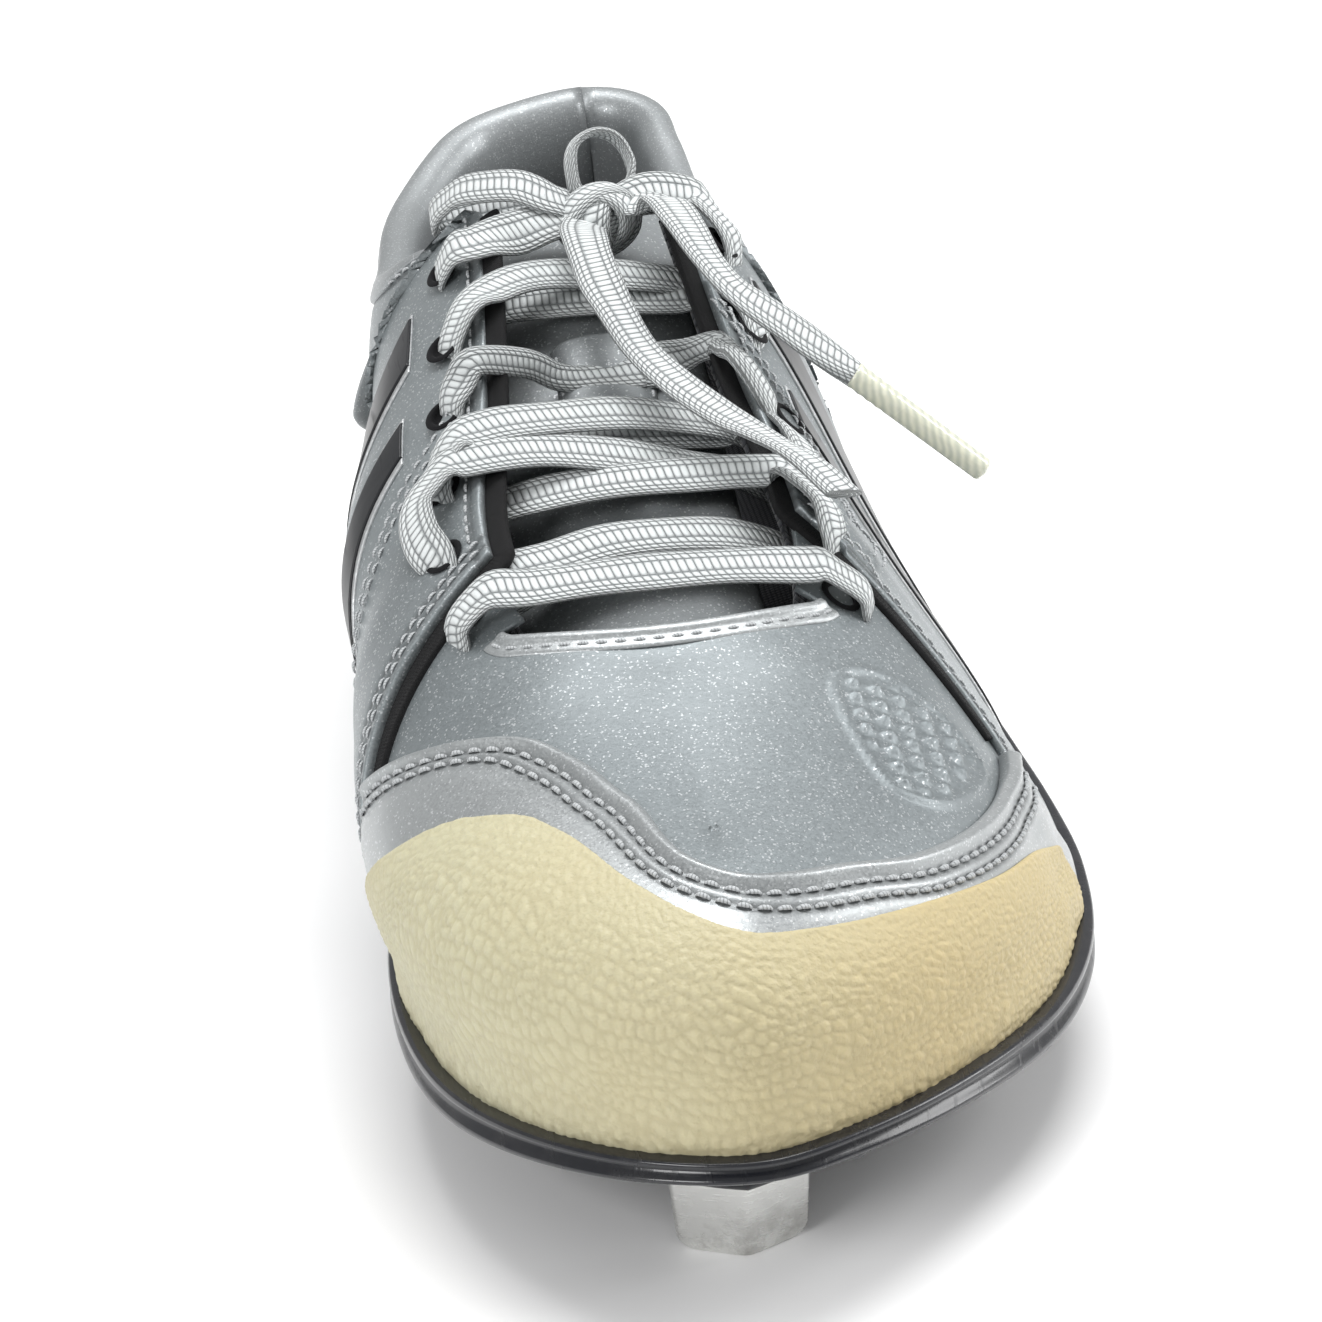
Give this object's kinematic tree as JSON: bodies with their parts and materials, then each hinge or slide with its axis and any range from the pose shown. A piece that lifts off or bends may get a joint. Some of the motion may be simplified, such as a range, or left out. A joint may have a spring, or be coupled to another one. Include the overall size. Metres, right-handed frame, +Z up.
{
  "type": "low-cut baseball spike shoe, left",
  "caption": "Left low-cut baseball shoe: moulded outsole with metal blade spikes, layered synthetic upper with a pebbled toe guard, hinged tongue and flat laces.",
  "frame": {"origin": "centre of the shoe's outline box on the ground, free lace ends not counted", "axes": "+Z up from the ground, toe towards -Y, medial side towards -X"},
  "size_m": [0.1082, 0.2916, 0.1086],
  "materials": {
    "black_plastic": "glossy moulded plastic, blue-black",
    "blade_steel": "bright steel with fine scratches",
    "shank_steel": "plain steel, hidden",
    "board": "fibre board and stiffener sheet",
    "foam": "soft foam",
    "lining_fabric": "dark knitted lining",
    "sock_fabric": "dark fabric over foam",
    "silver_leather": "silver synthetic leather with fine sparkle",
    "cream_guard": "pebbled cream polyurethane",
    "black_band": "glossy black band",
    "lace": "flat woven polyester",
    "aglet_plastic": "clear yellowed plastic sleeve"
  },
  "bodies": {
    "shoe": {"outsole_plate": "black_plastic", "spike_seat_toe": "black_plastic", "spike_blade_toe": "blade_steel", "spike_seat_forefoot_lateral": "black_plastic", "spike_blade_forefoot_lateral": "blade_steel", "spike_seat_forefoot_medial": "black_plastic", "spike_blade_forefoot_medial": "blade_steel", "spike_seat_ball_lateral": "black_plastic", "spike_blade_ball_lateral": "blade_steel", "spike_seat_ball_medial": "black_plastic", "spike_blade_ball_medial": "blade_steel", "spike_seat_heel_lateral": "black_plastic", "spike_blade_heel_lateral": "blade_steel", "spike_seat_heel_medial": "black_plastic", "spike_blade_heel_medial": "blade_steel", "shank_plate": "shank_steel", "lasting_board": "board", "heel_wedge": "foam", "upper_lining": "lining_fabric", "toe_puff": "board", "heel_stiffener": "board", "collar_padding": "foam", "vamp": "silver_leather", "quarter_lateral": "silver_leather", "quarter_medial": "silver_leather", "toe_cap": "silver_leather", "toe_guard": "cream_guard", "heel_counter": "silver_leather", "side_band_lateral_front": "black_band", "side_band_lateral_rear": "black_band", "side_band_medial_front": "black_band", "side_band_medial_rear": "black_band", "lace_bar": "lace", "lace_cross_1_under": "lace", "lace_cross_1_over": "lace", "lace_cross_2_under": "lace", "lace_cross_2_over": "lace", "lace_cross_3_under": "lace", "lace_cross_3_over": "lace", "lace_cross_4_under": "lace", "lace_cross_4_over": "lace", "lace_cross_5_under": "lace", "lace_cross_5_over": "lace", "lace_tie_medial": "lace", "lace_tie_lateral": "lace", "lace_knot": "lace", "lace_loop_medial": "lace", "lace_loop_rear": "lace", "lace_end_lateral": "lace", "lace_end_front": "lace", "aglet_lateral": "aglet_plastic"},
    "tongue": {"tongue": "silver_leather", "tongue_loop": "silver_leather"},
    "sockliner": {"sockliner": "sock_fabric"}
  },
  "joints": [
    {"name": "tongue_press", "type": "hinge", "parent": "shoe", "child": "tongue", "pos_m": [0, -0.0665, 0.0545], "axis": [1, 0, 0], "range_deg": [-4, 0], "stiffness_Nm_per_rad": 0.3, "springref_deg": 4.01},
    {"name": "sockliner_lift", "type": "hinge", "parent": "shoe", "child": "sockliner", "pos_m": [0, -0.1318, 0.0246], "axis": [1, 0, 0], "range_deg": [0, 2]}
  ]
}
